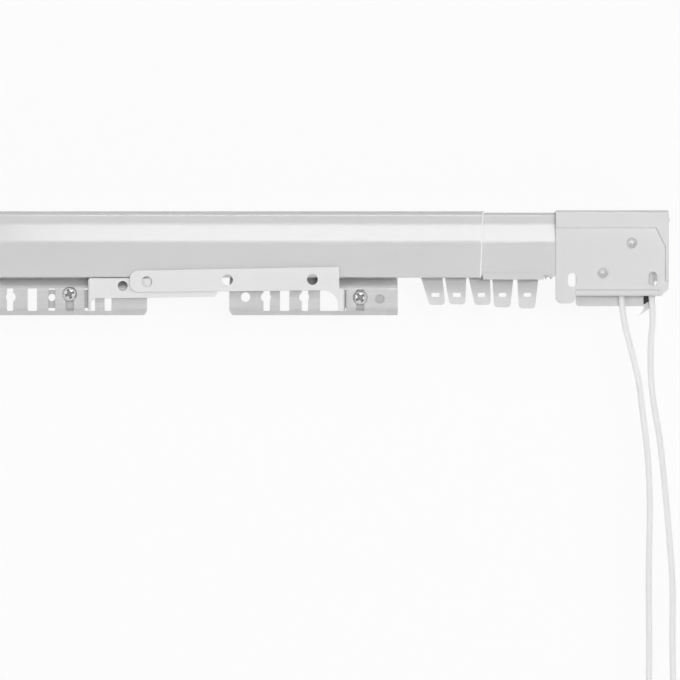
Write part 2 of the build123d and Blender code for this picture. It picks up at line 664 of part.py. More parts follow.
def underlap_arm():
    tip, low = on_plate(UNDERLAP_TIP, UNDERLAP_LOW)
    root, leg_top = on_plate(UNDERLAP_ROOT, UNDERLAP_LEG_TOP)
    edge = root + ARM_SHEET / 2
    leg = edge - UNDERLAP_LEG_W
    shape = outline((edge, -HANG_GAP), (tip, -HANG_GAP), (tip, low),
                    (tip + UNDERLAP_CLIP[0], low - UNDERLAP_CLIP[1]), (leg, leg_top),
                    (leg, LEG_BOTTOM), (edge, LEG_BOTTOM))
    shape = rounded(shape, (leg, leg_top), UNDERLAP_LEG_R)
    shape = rounded(shape, (edge, -HANG_GAP), UNDERLAP_ROOT_R)
    strip = arm(shape, LEFT_SCREW, (UNDERLAP_HOLE,), UNDERLAP_HOLE_R, UNDERLAP_FRONT, tip, root)
    return strip - along_y(disc(*on_plate(*FOOT_HOLE), FOOT_HOLE_R), PLATE_BACK, ROD_DEPTH)


def arm_screw(place, turn):
    """Pan-head screw with a cross recess, through the plate's slot into the arm's foot."""
    head = along_y(disc(0, 0, ARM_SCREW_HEAD_R), PLATE_FRONT - ARM_SCREW_HEAD_T, PLATE_FRONT)
    head = fillet(head.edges().sort_by(Axis.Y)[0], ARM_SCREW_HEAD_T * 0.6)
    screw = head + along_y(disc(0, 0, ARM_SCREW_R), PLATE_FRONT, PLATE_FRONT + ARM_SCREW_LENGTH)
    floor = PLATE_FRONT - ARM_SCREW_HEAD_T + RECESS_DEPTH
    cross = Rectangle(RECESS_L, RECESS_W) + Rectangle(RECESS_W, RECESS_L)
    screw -= along_y(Rot(0, 0, turn) * cross, PLATE_FRONT - ARM_SCREW_HEAD_T - 1, floor)
    x, z = on_plate(*place)
    return Pos(x, 0, z) * screw


# Carrier gate
def gate():
    left, right = -MOUTH + GATE_FROM_MOUTH, -HOUSING_W - GATE_FROM_HOUSING
    front = INSET - HOUSING_FIT - GATE_T
    web_top = INSET - HOUSING_FIT
    web_bottom = web_top - GATE_T
    pivot_x, pivot_y = gate_pivot()
    flange = box((left, right), (front, front + GATE_T), (GATE_BOTTOM, GATE_TOP))
    eye_r = GATE_WEB_DEPTH - pivot_y
    web = outline((left, front), (right, front), (pivot_x, pivot_y - eye_r),
                  (pivot_x, GATE_WEB_DEPTH), (left + GATE_TAB_W, GATE_WEB_DEPTH),
                  (left + GATE_TAB_W, GATE_TAB_DEPTH), (left, GATE_TAB_DEPTH))
    web += Pos(pivot_x, pivot_y) * Circle(eye_r)
    web -= Pos(pivot_x, pivot_y) * Circle(GATE_PIN_R + RUNNING)
    return flange + along_z(web, web_bottom, web_top)


def gate_pivot():
    return -HOUSING_W - GATE_FROM_HOUSING + GATE_PIVOT_OUT, GATE_PIVOT_DEPTH


def gate_rivet():
    """Upright pin that hangs the gate under the inner section's floor."""
    centre = Pos(*gate_pivot())
    head_top = INSET - HOUSING_FIT - GATE_T - RUNNING
    pin = along_z(centre * Circle(GATE_PIN_R), head_top, FLOOR_TOP)
    pin += along_z(centre * Circle(GATE_PIN_HEAD_R), head_top - GATE_T, head_top)
    return pin + along_z(centre * Circle(GATE_PIN_HEAD_R), FLOOR_TOP, FLOOR_TOP + HEAD_T)


def inner_section():
    hole = along_z(Pos(*gate_pivot()) * Circle(GATE_PIN_R + RUNNING), -1, ROD_DEPTH / 2)
    return rod_section(INSET, -INNER_REACH, -SECTION_END) - hole


def wall_bracket():
    """Angle with a plate on the wall and an arm that the housing's return slides on."""
    arm_x = -ARM_OUTER - BRACKET_SHEET / 2
    plate_y = PROJECTION - BRACKET_SHEET / 2
    arm_front = HOUSING_SIDE_DEPTH + RETURN_LENGTH - PROJECTION_TRAVEL - BRACKET_LAP
    line = ((-ARM_OUTER - BRACKET_W, plate_y), (arm_x, plate_y), (arm_x, arm_front))
    middle = BRACKET_MIDDLE
    angle = along_z(bent(line, BRACKET_SHEET, BRACKET_BEND_R),
                    middle - BRACKET_H / 2, middle + BRACKET_H / 2)
    tall, low = BRACKET_H / 2, BRACKET_ARM_H / 2
    neck = PROJECTION - BRACKET_NECK
    slant = neck - BRACKET_NECK
    side = outline((arm_front - 1, middle - low), (slant, middle - low), (neck, middle - tall),
                   (PROJECTION + 1, middle - tall), (PROJECTION + 1, middle + tall),
                   (neck, middle + tall), (slant, middle + low), (arm_front - 1, middle + low))
    angle &= along_x(side, -2 * END_X, 0)
    for side_sign in (-1, 1):
        hole = disc(-END_X, middle + side_sign * SCREW_SPACING / 2, WALL_SCREW_R)
        angle -= along_y(hole, PROJECTION - 2 * BRACKET_SHEET, PROJECTION + 1)
    return angle


# Cord inside the rod
def cord_tube(path):
    """Round cord swept along a path that starts square to its first face."""
    start = Plane(origin=path @ 0, z_dir=path % 0)
    return sweep(start * Circle(CORD_D / 2), path=path)


def run_to_idler(start_x, z):
    idler_x = -ROD_LENGTH + IDLER_IN
    return along_x(Pos(CORD_DEPTH, z) * Circle(CORD_D / 2), idler_x, start_x)


def leave_direction(angle):
    """Way the cord runs down from a pulley, leaning out by an angle from straight down."""
    return Vector(sin(radians(angle)), 0, -cos(radians(angle)))


def leave_point(axle_place, angle):
    x, z = axle_place
    return Vector(x + PITCH_R * cos(radians(angle)), CORD_DEPTH, z + PITCH_R * sin(radians(angle)))


def outlet(axle_place, angle):
    """Centre of the cord where it comes out under the housing."""
    start = leave_point(axle_place, angle)
    direction = leave_direction(angle)
    return start + direction * ((OUTLET_Z - start.Z) / direction.Z)


def drop_from(axle_place, angle):
    """Turn over a pulley and the straight drop out of the housing."""
    x, z = axle_place
    half = radians((90 + angle) / 2)
    top = Vector(x, CORD_DEPTH, z + PITCH_R)
    middle = Vector(x + PITCH_R * cos(half), CORD_DEPTH, z + PITCH_R * sin(half))
    side = leave_point(axle_place, angle)
    turn = ThreePointArc(top, middle, side)
    return cord_tube(Wire([turn, Line(side, outlet(axle_place, angle))]))


def idler_turn():
    x, z = -ROD_LENGTH - IDLER_AXLE[0], IDLER_AXLE[1]
    turn = ThreePointArc(Vector(x, CORD_DEPTH, z + IDLER_R), Vector(x - IDLER_R, CORD_DEPTH, z),
                         Vector(x, CORD_DEPTH, z - IDLER_R))
    return cord_tube(Wire([turn]))


# Hanging cord loop: x, sideways from the pulley plane, z
def loop_route():
    start = outlet(LOWER_AXLE, LOWER_LEAVE_ANGLE)
    finish = outlet(UPPER_AXLE, UPPER_LEAVE_ANGLE)
    wrap = TENSION_PITCH_R / cos(radians(30))
    down = [(-17.9, 0.6, -34.0), (-13.6, 0.9, -51.0), (-11.9, 0.6, -67.0), (-9.4, 0.2, -86.0),
            (-8.3, -0.2, -112.0), (-9.2, -0.1, -146.0), (-8.7, 0, -180.0), (-9.1, 0, -202.0)]
    for angle in (210, 270, 330):
        down.append((TENSION_X + wrap * cos(radians(angle)), 0,
                     TENSION_Z + wrap * sin(radians(angle))))
    up = [(3.1, 0, -202.0), (2.4, 0, -180.0), (2.9, 0.3, -150.0), (0.6, 0.7, -121.0),
          (-1.6, 0.5, -97.0), (-3.7, 0, -78.0), (-6.9, -0.5, -61.0), (-8.3, -0.7, -46.0),
          (-8.0, -0.3, -32.0)]
    middle = [Vector(x, CORD_DEPTH + y, z) for x, y, z in down + up]
    first = start + leave_direction(LOWER_LEAVE_ANGLE) * FIRST_RUN
    last = finish + leave_direction(UPPER_LEAVE_ANGLE) * FIRST_RUN
    return [start, first, *middle, last, finish]


def corner_radius(before, point, after):
    """Radius that uses up a little less than half of the shorter run beside a point."""
    turn = (point - before).get_angle(after - point)
    run = min((point - before).length, (after - point).length)
    return CORNER_SHARE * run / tan(radians(turn / 2))


def hanging_loop():
    route = loop_route()
    radii = [corner_radius(*route[i - 1:i + 2]) for i in range(1, len(route) - 1)]
    path = FilletPolyline(*route, radius=radii)
    tube = cord_tube(path)
    print("cord radii", [round(r, 1) for r in radii])
    print("loop length", round(path.length, 1))
    print("volume share", round(tube.volume / (pi * CORD_D ** 2 / 4 * path.length), 4))
    return tube


# Tension pulley
def tension_yoke():
    """Fork that carries the wheel, on a stem that slides in the base."""
    inner = WHEEL_W / 2 + CHEEK_GAP
    top = TENSION_Z + CHEEK_W / 2
    bottom = YOKE_BRIDGE_Z - CHEEK_T
    fork = box((TENSION_X - CHEEK_W / 2, TENSION_X + CHEEK_W / 2),
               (CORD_DEPTH - inner - CHEEK_T, CORD_DEPTH + inner + CHEEK_T), (bottom, top))
    side = outline((TENSION_X - CHEEK_W / 2, bottom), (TENSION_X + CHEEK_W / 2, bottom),
                   (TENSION_X + CHEEK_W / 2, TENSION_Z), (TENSION_X - CHEEK_W / 2, TENSION_Z))
    round_top = along_y(side + disc(TENSION_X, TENSION_Z, CHEEK_W / 2), -ROD_DEPTH, 2 * ROD_DEPTH)
    fork &= round_top
    fork -= box((TENSION_X - CHEEK_W, TENSION_X + CHEEK_W),
                (CORD_DEPTH - inner, CORD_DEPTH + inner), (YOKE_BRIDGE_Z, top + 1))
    fork -= along_y(disc(TENSION_X, TENSION_Z, TENSION_AXLE_R + RUNNING), -ROD_DEPTH, 2 * ROD_DEPTH)
    stem_foot = BASE_BOTTOM + CUP_WALL + HANG_GAP
    centre = Pos(TENSION_X, CORD_DEPTH)
    stem = along_z(centre * Circle(STEM_R), stem_foot, bottom + CHEEK_T / 2)
    collar = along_z(centre * Circle(SPRING_R), stem_foot, stem_foot + COLLAR_T)
    return fork + stem + collar


def tension_axle():
    inner = WHEEL_W / 2 + CHEEK_GAP + CHEEK_T
    pin = along_y(disc(TENSION_X, TENSION_Z, TENSION_AXLE_R), CORD_DEPTH - inner, CORD_DEPTH + inner)
    for end, grow in ((CORD_DEPTH - inner, -HEAD_T), (CORD_DEPTH + inner, HEAD_T)):
        head = disc(TENSION_X, TENSION_Z, HEAD_SHARE * TENSION_AXLE_R)
        pin += along_y(head, *sorted((end, end + grow)))
    return pin


def tension_base():
    """Cup for the spring on a plate with two screw holes."""
    centre = Pos(TENSION_X, CORD_DEPTH)
    cup = along_z(centre * Circle(BASE_R), BASE_BOTTOM, BASE_TOP)
    plate_front = CORD_DEPTH + BASE_R
    plate_back = plate_front + TENSION_PLATE_T
    cup += box((TENSION_X - BASE_R, TENSION_X + BASE_R), (CORD_DEPTH, plate_front),
               (BASE_BOTTOM, BASE_TOP))
    plate = Pos(TENSION_X, (BASE_TOP + BASE_BOTTOM) / 2) * RectangleRounded(
        TENSION_PLATE_W, BASE_TOP - BASE_BOTTOM + 2 * TENSION_PLATE_OVER, TENSION_CORNER_R)
    cup += along_y(plate, plate_front, plate_back)
    cup -= along_z(centre * Circle(SPRING_R + HANG_GAP), BASE_BOTTOM + CUP_WALL, BASE_TOP - CUP_WALL)
    cup -= along_z(centre * Circle(STEM_R + RUNNING), BASE_TOP - 2 * CUP_WALL, BASE_TOP + 1)
    for z in tension_screw_heights():
        cup -= along_y(disc(TENSION_X, z, TENSION_SCREW_R), plate_front - 1, plate_back + 1)
    return cup


def tension_screw_heights():
    over = TENSION_PLATE_OVER - TENSION_SCREW_INSET
    return BASE_BOTTOM - over, BASE_TOP + over


def tension_spring():
    """Sleeve the size of the compression spring hidden in the cup."""
    centre = Pos(TENSION_X, CORD_DEPTH)
    foot = BASE_BOTTOM + CUP_WALL + HANG_GAP + COLLAR_T
    ring = Circle(SPRING_R) - Circle(SPRING_R - SPRING_WALL)
    return along_z(centre * ring, foot, BASE_TOP - CUP_WALL)


# Build everything
right_front = INSET - HOUSING_FIT - HOUSING_SHEET
left_front = -HOUSING_FIT - HOUSING_SHEET

save("rod_outer_section", outer_section())
save("rod_inner_section", inner_section())
save("right_end_housing", housing(INSET, (LOWER_AXLE, UPPER_AXLE)))
save("left_end_housing", to_left(housing(0, (IDLER_AXLE,))))
save("right_pulley_frame", pulley_frame((LOWER_AXLE, UPPER_AXLE), FRAME_DROP, True))
save("left_pulley_frame", to_left(pulley_frame((IDLER_AXLE,), HOUSING_DROP / 2, False)))
save("right_pulley_axles", axle(*LOWER_AXLE, right_front), axle(*UPPER_AXLE, right_front))
save("left_pulley_axle", to_left(axle(*IDLER_AXLE, left_front)))
save("lower_cord_pulley", wheel(*LOWER_AXLE, PITCH_R, FLANGE_OVER, AXLE_R))
save("upper_cord_pulley", wheel(*UPPER_AXLE, PITCH_R, FLANGE_OVER, AXLE_R))
save("idler_pulley", to_left(wheel(*IDLER_AXLE, IDLER_R, FLANGE_OVER, AXLE_R)))
save("wall_bracket_right", wall_bracket())
save("wall_bracket_left", to_left(wall_bracket()))

for number, (centre, lean, drop) in enumerate(zip(slide_centres(), TAB_LEANS, TAB_DROPS), 1):
    piece = slide(centre, lean, drop, number < 3)
    save(f"right_slide_{number}", piece)
    save(f"left_slide_{number}", to_left(piece))

save("right_carrier_plate", carrier_plate(RIGHT_WINDOWS, RIGHT_KEYHOLES, RIGHT_PIN_HOLES,
                                          RIGHT_SCREW[0], RIGHT_PLATE_OVER))
save("left_carrier_plate", to_left(carrier_plate(LEFT_WINDOWS, LEFT_KEYHOLES, LEFT_PIN_HOLES,
                                                 LEFT_SCREW[0])))
save("right_carrier_runner", runner())
save("left_carrier_runner", to_left(runner()))
save("right_carrier_rivets", *carrier_rivets())
save("left_carrier_rivets", *[to_left(rivet) for rivet in carrier_rivets()])
save("right_cord_clamp", cord_clamp(UPPER_LINE))
save("left_cord_clamp", to_left(cord_clamp(LOWER_LINE)))
save("overlap_arm", overlap_arm())
save("underlap_arm", to_left(underlap_arm()))
save("right_arm_screw", arm_screw(RIGHT_SCREW, RIGHT_SCREW_TURN))
save("left_arm_screw", to_left(arm_screw(LEFT_SCREW, LEFT_SCREW_TURN)))
save("carrier_gate", gate())
save("gate_rivet", gate_rivet())

save("cord_lower_run", run_to_idler(LOWER_AXLE[0], LOWER_LINE))
save("cord_upper_run", run_to_idler(UPPER_AXLE[0], UPPER_LINE))
save("cord_lower_drop", drop_from(LOWER_AXLE, LOWER_LEAVE_ANGLE))
save("cord_upper_drop", drop_from(UPPER_AXLE, UPPER_LEAVE_ANGLE))
save("cord_idler_turn", idler_turn())
save("cord_hanging_loop", hanging_loop())

save("tension_yoke", tension_yoke())
save("tension_wheel", wheel(TENSION_X, TENSION_Z, TENSION_PITCH_R, TENSION_FLANGE_OVER,
                            TENSION_AXLE_R, TENSION_CORD_GAP))
save("tension_axle", tension_axle())
save("tension_base", tension_base())
save("tension_spring", tension_spring())
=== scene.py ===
from math import cos, pi, radians, sin

import bmesh
import bpy
import numpy as np
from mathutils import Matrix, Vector


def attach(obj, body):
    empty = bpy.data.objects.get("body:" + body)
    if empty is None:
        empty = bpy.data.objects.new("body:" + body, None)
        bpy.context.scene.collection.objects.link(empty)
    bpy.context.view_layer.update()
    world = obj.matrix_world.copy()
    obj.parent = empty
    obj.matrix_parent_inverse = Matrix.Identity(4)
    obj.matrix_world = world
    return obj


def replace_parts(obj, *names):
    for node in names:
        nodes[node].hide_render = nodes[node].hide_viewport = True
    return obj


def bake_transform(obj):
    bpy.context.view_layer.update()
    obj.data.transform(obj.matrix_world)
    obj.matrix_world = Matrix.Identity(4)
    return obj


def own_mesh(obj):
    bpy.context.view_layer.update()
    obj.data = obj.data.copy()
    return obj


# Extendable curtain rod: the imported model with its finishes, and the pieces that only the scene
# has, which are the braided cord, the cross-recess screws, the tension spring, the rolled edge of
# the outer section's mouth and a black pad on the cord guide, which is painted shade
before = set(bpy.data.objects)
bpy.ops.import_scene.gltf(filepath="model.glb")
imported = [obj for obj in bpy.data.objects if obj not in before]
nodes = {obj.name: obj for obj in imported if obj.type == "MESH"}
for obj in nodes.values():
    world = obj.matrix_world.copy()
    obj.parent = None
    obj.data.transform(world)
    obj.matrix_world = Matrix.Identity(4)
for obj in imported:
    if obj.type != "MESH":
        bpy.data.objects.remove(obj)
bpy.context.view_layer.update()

# Rod coordinates, in millimetres, as in the CAD source: x falls inward from the rod's right end,
# y is the depth behind the front face, z the height above the rod's bottom edge
END_X, PROJECTION, BRACKET_MIDDLE = 11.05, 89.0, 12.5
ROD_LENGTH = 467.0
CORD_DEPTH = 7.3
CORD_D = 2.8


def at(x, y, z):
    """Rod coordinates to a point of the frame, in metres."""
    return Vector((x + END_X, y - PROJECTION, z - BRACKET_MIDDLE)) / 1000


# Camera: the photograph is 680 pixels wide at 2.05 pixels to a millimetre of the rod's face
PHOTO_SCALE = 2.05
PHOTO_SIZE = 680
ROD_END_PIXEL, ROD_BOTTOM_PIXEL = 668.5, 277.5
LENS, SENSOR, VIEW_END = 200.0, 36.0, 20

middle_x = (PHOTO_SIZE / 2 - ROD_END_PIXEL) / PHOTO_SCALE
middle_z = (ROD_BOTTOM_PIXEL - PHOTO_SIZE / 2) / PHOTO_SCALE
distance = PHOTO_SIZE / PHOTO_SCALE * LENS / SENSOR
camera = bpy.data.objects.new("camera", bpy.data.cameras.new("camera"))
bpy.context.scene.collection.objects.link(camera)
camera.data.lens, camera.data.sensor_width = LENS, SENSOR
camera.data.clip_end = VIEW_END
camera.location = at(middle_x, -distance, middle_z)
camera.rotation_euler = (radians(90), 0, 0)
bpy.context.scene.camera = camera


# Node helpers. Noise lies about between these values, and its scale is in grains to a metre
NOISE_LOW, NOISE_HIGH = 0.3, 0.7
BEVEL_SAMPLES, EDGE_GAIN = 6, 6.0


class Tree:
    """A node tree that is written as nested calls."""

    def __init__(self, owner):
        owner.use_nodes = True
        self.tree = owner.node_tree

    def add(self, kind, props=None, **inputs):
        node = self.tree.nodes.new(kind)
        for key, value in (props or {}).items():
            setattr(node, key, value)
        for key, value in inputs.items():
            self.put(node, key, value)
        return node

    def put(self, node, key, value):
        """Links a socket or sets a value on the input that is named, or numbered as _0, _1."""
        name = int(key[1:]) if key[0] == "_" else key.replace("_", " ")
        socket = node.inputs[name]
        if isinstance(value, bpy.types.NodeSocket):
            self.tree.links.new(value, socket)
        else:
            socket.default_value = value

    def math(self, operation, *values):
        node = self.add("ShaderNodeMath", {"operation": operation})
        for number, value in enumerate(values):
            self.put(node, f"_{number}", value)
        return node.outputs[0]

    def spread(self, value, low, high):
        """Noise stretched to the range low to high."""
        node = self.add("ShaderNodeMapRange", Value=value, From_Min=NOISE_LOW,
                        From_Max=NOISE_HIGH, To_Min=low, To_Max=high)
        return node.outputs[0]

    def mix(self, factor, a, b):
        node = self.add("ShaderNodeMix", {"data_type": "RGBA"})
        for number, value in ((0, factor), (6, a), (7, b)):
            self.put(node, f"_{number}", value)
        return node.outputs[2]


def grey(value):
    return (value, value, value, 1)


def noise(tree, scale, stretch=(1, 1, 1), detail=4):
    """Noise in the frame's metres, which are also the piece's own."""
    place = tree.add("ShaderNodeTexCoord").outputs["Object"]
    place = tree.add("ShaderNodeMapping", Vector=place, Scale=stretch).outputs[0]
    return tree.add("ShaderNodeTexNoise", Vector=place, Scale=scale, Detail=detail).outputs[0]


def edge_share(tree, radius):
    """1 along sharp edges, falling to 0 at a radius from them."""
    soft = tree.add("ShaderNodeBevel", {"samples": BEVEL_SAMPLES}, Radius=radius).outputs[0]
    plain = tree.add("ShaderNodeNewGeometry").outputs["True Normal"]
    dot = tree.add("ShaderNodeVectorMath", {"operation": "DOT_PRODUCT"}, _0=soft, _1=plain)
    away = tree.math("SUBTRACT", 1.0, dot.outputs["Value"])
    return tree.math("MINIMUM", tree.math("MULTIPLY", away, EDGE_GAIN), 1.0)


def relief(tree, height, strength, size, edge):
    """Normal of a surface with soft edges and that relief, size being its depth in metres."""
    soft = tree.add("ShaderNodeBevel", {"samples": BEVEL_SAMPLES}, Radius=edge).outputs[0]
    return tree.add("ShaderNodeBump", Strength=strength, Distance=size, Height=height,
                    Normal=soft).outputs[0]


def past(tree, axis, line, blur=0.0002):
    """0 before a line on that axis of the frame, in metres, and 1 past it."""
    place = tree.add("ShaderNodeTexCoord").outputs["Object"]
    value = tree.add("ShaderNodeSeparateXYZ", Vector=place).outputs[axis]
    return tree.add("ShaderNodeMapRange", Value=value, From_Min=line - blur,
                    From_Max=line).outputs[0]


def material(name):
    made = bpy.data.materials.new(name)
    tree = Tree(made)
    return made, tree, made.node_tree.nodes["Principled BSDF"]


# Materials. The first three lines are lengths, in metres
PLATED_EDGE, METAL_EDGE, MOULDED_EDGE, YARN_EDGE = 0.0002, 0.0001, 0.0003, 0.00005
SHEET_DEPTH, SCRATCH_DEPTH, FIBRE_DEPTH = 0.00003, 0.00002, 0.00005
PAINTED_LIGHT_BLUR, MILK_REACH = 0.0006, 0.0012
FOOT_SHADE_GREY, PAINTED_LIGHT_GREY, BRIGHTEST_EDGE = 0.50, 0.82, 0.9
RIM_STRENGTH, SPECK_SHARE, TOP_SHADE_SHARE = 0.6, 0.25, 0.72
COAT, COAT_ROUGH, PLATED_METAL, YARN_SHEEN = 0.35, 0.12, 0.15, 0.6


def enamel(name, value, rough, edge=0.00025, rim=0.94, foot_shade_depth=None):
    """Baked enamel: a faint orange peel, a slight drift of tone and another tone on the edges,
    which with a rim above 1 is a painted highlight.

    Behind the given depth, in rod millimetres, the colour drops to a darker grey: painted shade on
    the arm's foot, which lies behind the plate."""
    made, tree, shader = material(name)
    drift = noise(tree, 45, (0.25, 1, 1))
    peel = noise(tree, 900, detail=2)
    speck = noise(tree, 2600, detail=3)
    tone = tree.mix(tree.spread(drift, 0, 1), grey(value * 0.975), grey(value * 1.02))
    # Edge tone: darker below 1, and a painted highlight along the edges above 1
    rim_share = tree.math("MULTIPLY", edge_share(tree, edge), RIM_STRENGTH)
    tone = tree.mix(rim_share, tone, grey(value * rim))
    # Painted shade: darker grey behind the given depth, where the arm's foot lies in shade behind
    # the plate
    if foot_shade_depth is not None:
        tone = tree.mix(past(tree, "Y", at(0, foot_shade_depth, 0).y), tone, grey(FOOT_SHADE_GREY))
    height = tree.math("ADD", peel, tree.math("MULTIPLY", speck, SPECK_SHARE))
    tree.put(shader, "Base Color", tone)
    tree.put(shader, "Roughness", tree.spread(drift, rough * 0.88, rough * 1.12))
    tree.put(shader, "Normal", relief(tree, height, 0.25, SHEET_DEPTH, edge))
    shader.inputs["Coat Weight"].default_value = COAT
    shader.inputs["Coat Roughness"].default_value = COAT_ROUGH
    return made


def plated(name, value, rough, painted_light_height=None):
    """Satin zinc-plated sheet: rolling lines along it, small blotches and brighter cut edges.

    Above the given height, in rod millimetres, the colour is lighter: painted light on the plate's
    bend, which lies in the rod's shade."""
    made, tree, shader = material(name)
    lines = noise(tree, 900, (0.05, 1, 1), detail=3)
    blotch = noise(tree, 260, detail=5)
    tone = tree.mix(tree.spread(lines, 0, 1), grey(value * 0.95), grey(value * 1.05))
    tone = tree.mix(tree.spread(blotch, 0, 0.5), tone, grey(value * 0.9))
    # Painted light: the sheet is lighter above the given height, where its bend lies in the rod's
    # shade
    if painted_light_height is not None:
        line = at(0, 0, painted_light_height).z
        tone = tree.mix(past(tree, "Z", line, PAINTED_LIGHT_BLUR), tone, grey(PAINTED_LIGHT_GREY))
    cut_edge = grey(min(BRIGHTEST_EDGE, value * 1.3))
    tone = tree.mix(edge_share(tree, PLATED_EDGE), tone, cut_edge)
    tree.put(shader, "Base Color", tone)
    tree.put(shader, "Roughness", tree.spread(blotch, rough * 0.8, rough * 1.2))
    tree.put(shader, "Normal", relief(tree, lines, 0.3, SHEET_DEPTH, PLATED_EDGE))
    shader.inputs["Metallic"].default_value = PLATED_METAL
    return made


def bright_metal(name, value, rough, metallic=1.0):
    """Bright zinc: fine scratches, dull spots and a soft edge."""
    made, tree, shader = material(name)
    scratch = noise(tree, 5000, (1, 1, 0.12), detail=3)
    dull = noise(tree, 900, detail=4)
    tone = tree.mix(tree.spread(dull, 0, 1), grey(value * 0.85), grey(value))
    tree.put(shader, "Base Color", tone)
    tree.put(shader, "Roughness", tree.spread(dull, rough * 0.7, rough * 1.4))
    tree.put(shader, "Normal", relief(tree, scratch, 0.25, SCRATCH_DEPTH, METAL_EDGE))
    shader.inputs["Metallic"].default_value = metallic
    return made


def moulded(name, value, rough, milky, shade_heights=None):
    """Moulded plastic: milky under the surface, with flow marks and a fine grain.

    The pair of heights, in rod millimetres, sets a band over which the colour darkens towards the
    top: painted shade of the rod's shadow on the slides."""
    made, tree, shader = material(name)
    flow = noise(tree, 160, (1, 1, 0.4), detail=3)
    grain = noise(tree, 3500, detail=2)
    tone = tree.mix(tree.spread(flow, 0, 1), grey(value * 0.96), grey(value * 1.02))
    # Painted shade: darker towards the top, where the rod shadows the slides
    if shade_heights is not None:
        foot, top = (at(0, 0, height).z for height in shade_heights)
        tone = tree.mix(past(tree, "Z", top, top - foot), tone, grey(value * TOP_SHADE_SHARE))
    tree.put(shader, "Base Color", tone)
    tree.put(shader, "Roughness", tree.spread(flow, rough * 0.85, rough * 1.15))
    tree.put(shader, "Normal", relief(tree, grain, 0.2, SCRATCH_DEPTH, MOULDED_EDGE))
    shader.inputs["Subsurface Weight"].default_value = milky
    shader.inputs["Subsurface Radius"].default_value = (MILK_REACH,) * 3
    shader.inputs["Subsurface Scale"].default_value = 1.0
    return made


def braided(name, value):
    """Polyester yarn: fine fibres that darken it a little at random, and a soft sheen."""
    made, tree, shader = material(name)
    fibre = noise(tree, 7000, (1, 1, 0.3), detail=3)
    shade = noise(tree, 500, detail=2)
    tone = tree.mix(tree.spread(shade, 0, 1), grey(value * 0.98), grey(value))
    tone = tree.mix(tree.spread(fibre, 0, 0.2), tone, grey(value * 0.85))
    tree.put(shader, "Base Color", tone)
    tree.put(shader, "Roughness", tree.spread(fibre, 0.6, 0.85))
    tree.put(shader, "Normal", relief(tree, fibre, 0.5, FIBRE_DEPTH, YARN_EDGE))
    shader.inputs["Sheen Weight"].default_value = YARN_SHEEN
    return made


ROD = enamel("rod_enamel", 0.68, 0.21)
# The housings and arms have edges lighter than their faces, a painted highlight
HOUSING = enamel("housing_enamel", 0.73, 0.30, edge=0.0008, rim=1.15)
# The arms' feet behind the plates are darker grey, a painted shade
ARM = enamel("arm_enamel", 0.84, 0.33, edge=0.0006, rim=1.16, foot_shade_depth=4.6)
# The plates are painted lighter above their bend: painted light standing for light in the rod's
# shade
PLATE = plated("plate_zinc", 0.60, 0.42, painted_light_height=-4.3)
FRAME = plated("frame_zinc", 0.66, 0.42)
METAL = bright_metal("bright_zinc", 0.86, 0.22)
RIVET = bright_metal("rivet_zinc", 0.52, 0.34, metallic=0.6)
SCREW = bright_metal("screw_zinc", 0.68, 0.28)
# Darker copy of the screw's zinc for its cross recess, a painted shade
RECESS = bright_metal("screw_recess_painted_shade", 0.26, 0.5, metallic=0.5)
# Near-black finish of the pad on the cord guide, a painted shade
SHADE_BLACK = moulded("painted_shade_black", 0.012, 0.45, 0.0)
# Enamel of the mouth's rolled edge, lighter than the rod's: a painted highlight
BEAD = enamel("bead_painted_highlight", 0.97, 0.25, edge=0.0001)
ACETAL = moulded("acetal", 0.66, 0.38, 0.25)
# Slides darker towards their tops, a painted shade of the rod above them
SLIDE = moulded("slide_acetal", 0.70, 0.38, 0.25, shade_heights=(-10.5, -1.0))
WHITE = moulded("white_plastic", 0.84, 0.30, 0.1)
CORD = braided("white_braid", 0.97)

# What isn't named here is acetal where it is moulded, and bright zinc elsewhere
finishes = {
    "rod_outer_section": ROD, "rod_inner_section": ROD, "carrier_gate": ROD,
    "right_end_housing": HOUSING, "left_end_housing": HOUSING,
    "wall_bracket_right": HOUSING, "wall_bracket_left": HOUSING,
    "overlap_arm": ARM, "underlap_arm": ARM,
    "right_carrier_plate": PLATE, "left_carrier_plate": PLATE,
    "right_cord_clamp": PLATE, "left_cord_clamp": PLATE,
    "right_pulley_frame": FRAME, "left_pulley_frame": FRAME,
    "right_pulley_axles": RIVET, "left_pulley_axle": RIVET,
    "tension_base": WHITE, "tension_wheel": WHITE,
}
for name, node in nodes.items():
    finish = finishes.get(name)
    if finish is None and "slide" in name:
        finish = SLIDE
    elif finish is None:
        moulding = ("pulley" in name or "runner" in name) and "axle" not in name
        finish = ACETAL if moulding else METAL
    node.data.materials.clear()
    node.data.materials.append(finish)


# Shapes
CURVE_RESOLUTION = 24


def piece(name, vertices, faces, look):
    """Object of one smooth mesh with that finish."""
    mesh = bpy.data.meshes.new(name)
    mesh.from_pydata([tuple(v) for v in vertices], [], faces)
    mesh.validate()
    mesh.shade_smooth()
    mesh.materials.append(look)
    made = bpy.data.objects.new(name, mesh)
    bpy.context.scene.collection.objects.link(made)
    return made


